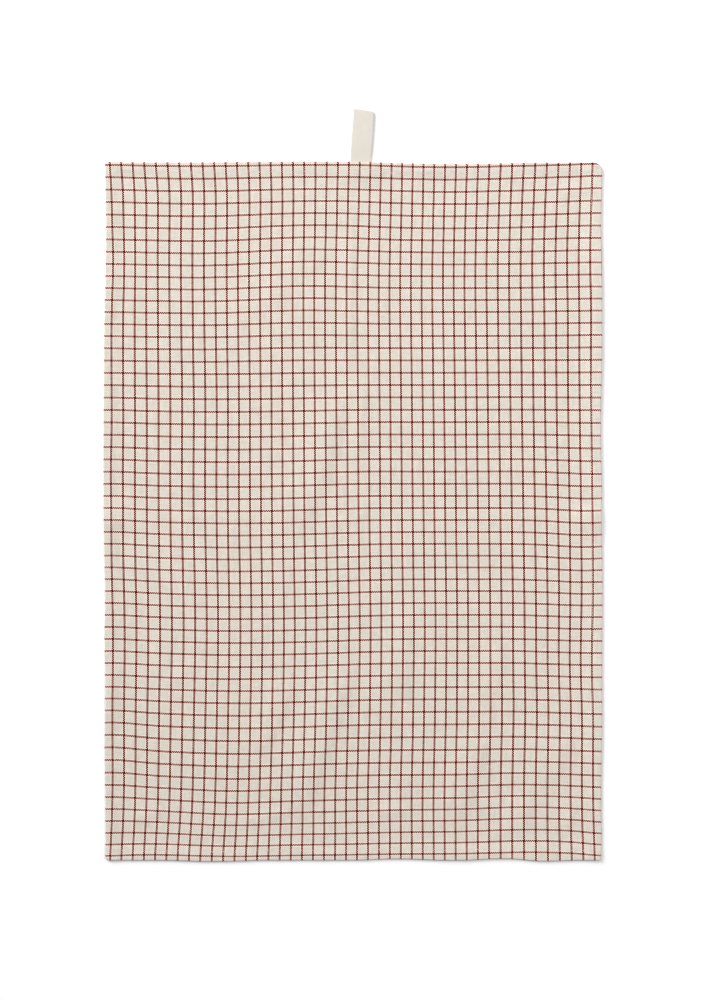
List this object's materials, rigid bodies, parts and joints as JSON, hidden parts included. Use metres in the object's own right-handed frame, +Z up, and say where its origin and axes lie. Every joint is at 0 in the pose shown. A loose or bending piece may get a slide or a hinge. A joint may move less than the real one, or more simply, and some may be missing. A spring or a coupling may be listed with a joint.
{
  "type": "checked tea towel with a tape hanging loop",
  "caption": "Flat cotton tea towel with turned hems, a fine red windowpane check on cream, and a folded tape loop in its top hem to hang it by.",
  "frame": {"origin": "middle of the cloth's flat underside, on the surface that the towel lies on", "axes": "+Z up out of the face of the cloth, +Y towards the end with the hanging loop, +X to the right of the face"},
  "size_m": [0.5006, 0.7547, 0.0066],
  "materials": {
    "checked_cotton": "matte plain weave, cream crossed by thin brick-red lines into small square checks",
    "woven_tape": "matte, closely woven off-white cotton tape"
  },
  "bodies": {
    "root": {"towel_cloth": "checked_cotton", "hang_loop": "woven_tape"}
  },
  "joints": []
}
